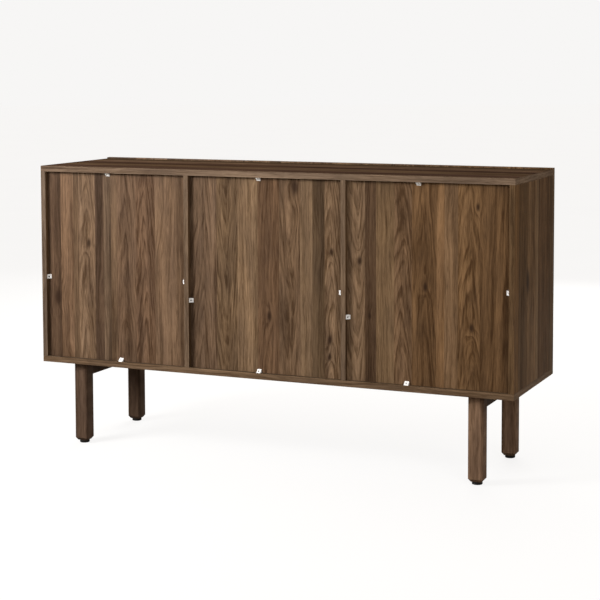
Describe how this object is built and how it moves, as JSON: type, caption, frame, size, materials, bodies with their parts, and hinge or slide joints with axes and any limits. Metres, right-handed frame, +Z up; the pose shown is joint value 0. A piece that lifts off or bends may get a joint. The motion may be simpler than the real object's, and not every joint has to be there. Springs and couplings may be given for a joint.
{
  "type": "sideboard buffet",
  "caption": "Long low walnut sideboard on square legs with overlay doors, shelved bays and planked back panels held by wedge clips.",
  "frame": {"origin": "on the floor, under the middle of the whole outline, doors included", "axes": "+X along the length, to the right of someone facing the doors; -Y is the door side and +Y the back; +Z up"},
  "size_m": [1.5, 0.416, 0.862],
  "materials": {
    "walnut_top": "satin",
    "walnut_carcass": "satin",
    "walnut_back": "satin",
    "walnut_shelf": "satin",
    "walnut_door": "satin",
    "walnut_leg": "satin",
    "white_plastic": "matte",
    "black_plastic": "matte",
    "clear_pad": "matte",
    "beech_dowel": "matte",
    "zinc_steel": "satin",
    "nickel_steel": "satin"
  },
  "bodies": {
    "carcass": {"top_panel": "walnut_top", "bottom_panel": "walnut_carcass", "side_panel_left": "walnut_carcass", "side_panel_right": "walnut_carcass", "divider_left": "walnut_carcass", "divider_right": "walnut_carcass", "back_panel_left": "walnut_back", "back_panel_center": "walnut_back", "back_panel_right": "walnut_back", "shelf_left": "walnut_shelf", "shelf_center": "walnut_shelf", "shelf_right": "walnut_shelf", "shelf_pins": "zinc_steel", "back_clips": "white_plastic", "back_clip_screws": "zinc_steel", "leg_front_left": "walnut_leg", "leg_front_right": "walnut_leg", "leg_rear_left": "walnut_leg", "leg_rear_right": "walnut_leg", "leg_glides": "black_plastic", "leg_rail_left": "walnut_leg", "leg_rail_right": "walnut_leg", "leg_inserts": "zinc_steel", "leg_bolts": "zinc_steel", "rail_dowels": "beech_dowel", "rail_screws": "zinc_steel", "cam_locks": "zinc_steel", "cam_bolts": "zinc_steel", "carcass_dowels": "beech_dowel", "hinge_arms_left": "nickel_steel", "hinge_arms_center": "nickel_steel", "hinge_arms_right": "nickel_steel", "hinge_plates_left": "nickel_steel", "hinge_plates_center": "nickel_steel", "hinge_plates_right": "nickel_steel", "hinge_plate_screws": "zinc_steel", "hinge_arm_screws": "zinc_steel", "hinge_pivots": "zinc_steel", "door_bumpers": "clear_pad"},
    "door_left": {"door_left": "walnut_door", "hinge_cups_left": "nickel_steel", "hinge_cup_screws_left": "zinc_steel"},
    "links_left": {"hinge_links_left": "nickel_steel"},
    "door_center": {"door_center": "walnut_door", "hinge_cups_center": "nickel_steel", "hinge_cup_screws_center": "zinc_steel"},
    "links_center": {"hinge_links_center": "nickel_steel"},
    "door_right": {"door_right": "walnut_door", "hinge_cups_right": "nickel_steel", "hinge_cup_screws_right": "zinc_steel"},
    "links_right": {"hinge_links_right": "nickel_steel"}
  },
  "joints": [
    {"name": "door_left_swing", "type": "hinge", "parent": "carcass", "child": "door_left", "pos_m": [-0.7455, -0.203, 0.557], "axis": [0, 0, -1], "range_deg": [0, 100]},
    {"name": "links_left_turn", "type": "hinge", "parent": "carcass", "child": "links_left", "pos_m": [-0.719, -0.1968, 0.557], "axis": [0, 0, 1], "range_deg": [0, 38]},
    {"name": "door_center_swing", "type": "hinge", "parent": "carcass", "child": "door_center", "pos_m": [-0.244, -0.203, 0.557], "axis": [0, 0, -1], "range_deg": [0, 100]},
    {"name": "links_center_turn", "type": "hinge", "parent": "carcass", "child": "links_center", "pos_m": [-0.2175, -0.1968, 0.557], "axis": [0, 0, 1], "range_deg": [0, 38]},
    {"name": "door_right_swing", "type": "hinge", "parent": "carcass", "child": "door_right", "pos_m": [0.7455, -0.203, 0.557], "axis": [0, 0, 1], "range_deg": [0, 100]},
    {"name": "links_right_turn", "type": "hinge", "parent": "carcass", "child": "links_right", "pos_m": [0.719, -0.1968, 0.557], "axis": [0, 0, -1], "range_deg": [0, 38]}
  ],
  "couplings": [
    {"joint": "links_left_turn", "follows": "door_left_swing", "ratio": 0.38},
    {"joint": "links_center_turn", "follows": "door_center_swing", "ratio": 0.38},
    {"joint": "links_right_turn", "follows": "door_right_swing", "ratio": 0.38}
  ]
}
